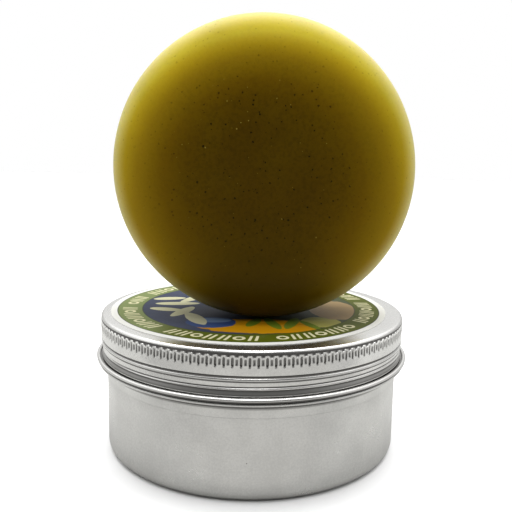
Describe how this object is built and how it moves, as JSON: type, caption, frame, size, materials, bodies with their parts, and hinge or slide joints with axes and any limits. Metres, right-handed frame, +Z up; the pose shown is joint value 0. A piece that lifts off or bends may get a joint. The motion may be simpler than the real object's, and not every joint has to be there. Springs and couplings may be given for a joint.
{
  "type": "wax puck with screw-top tin",
  "caption": "Round, thick-edged wax or soap puck standing on edge on the closed screw lid of the shallow aluminium tin that holds it.",
  "frame": {"origin": "middle of the tin's base, on the tin's axis, where the object stands", "axes": "+Z up along the tin's axis; the puck's visible face looks towards -Y; +X is to the right of a viewer who looks along +Y"},
  "size_m": [0.0702, 0.0702, 0.094],
  "materials": {
    "tin": "satin, drawn",
    "lid": "satin, pressed grip slots",
    "foam": "fine closed-cell foam",
    "label": "printed, satin coated",
    "wax": "smooth translucent wax"
  },
  "bodies": {
    "tin": {"tin_body": "tin"},
    "liner": {"lid_liner": "foam"},
    "lid": {"lid_shell": "lid", "lid_label": "label"},
    "puck": {"puck": "wax"}
  },
  "joints": [
    {"name": "lid_rise", "type": "slide", "parent": "tin", "child": "liner", "axis": [0, 0, 1], "range_m": [0, 0.01601]},
    {"name": "lid_turn", "type": "hinge", "parent": "liner", "child": "lid", "pos_m": [0, 0, 0.026], "axis": [0, 0, 1], "range_deg": [0, 5760]},
    {"name": "puck_lift", "type": "slide", "parent": "lid", "child": "puck", "axis": [0, 0, 1], "range_m": [0, 0.04]}
  ],
  "couplings": [
    {"joint": "lid_rise", "follows": "lid_turn", "m_per_rad": 0.00015915}
  ]
}
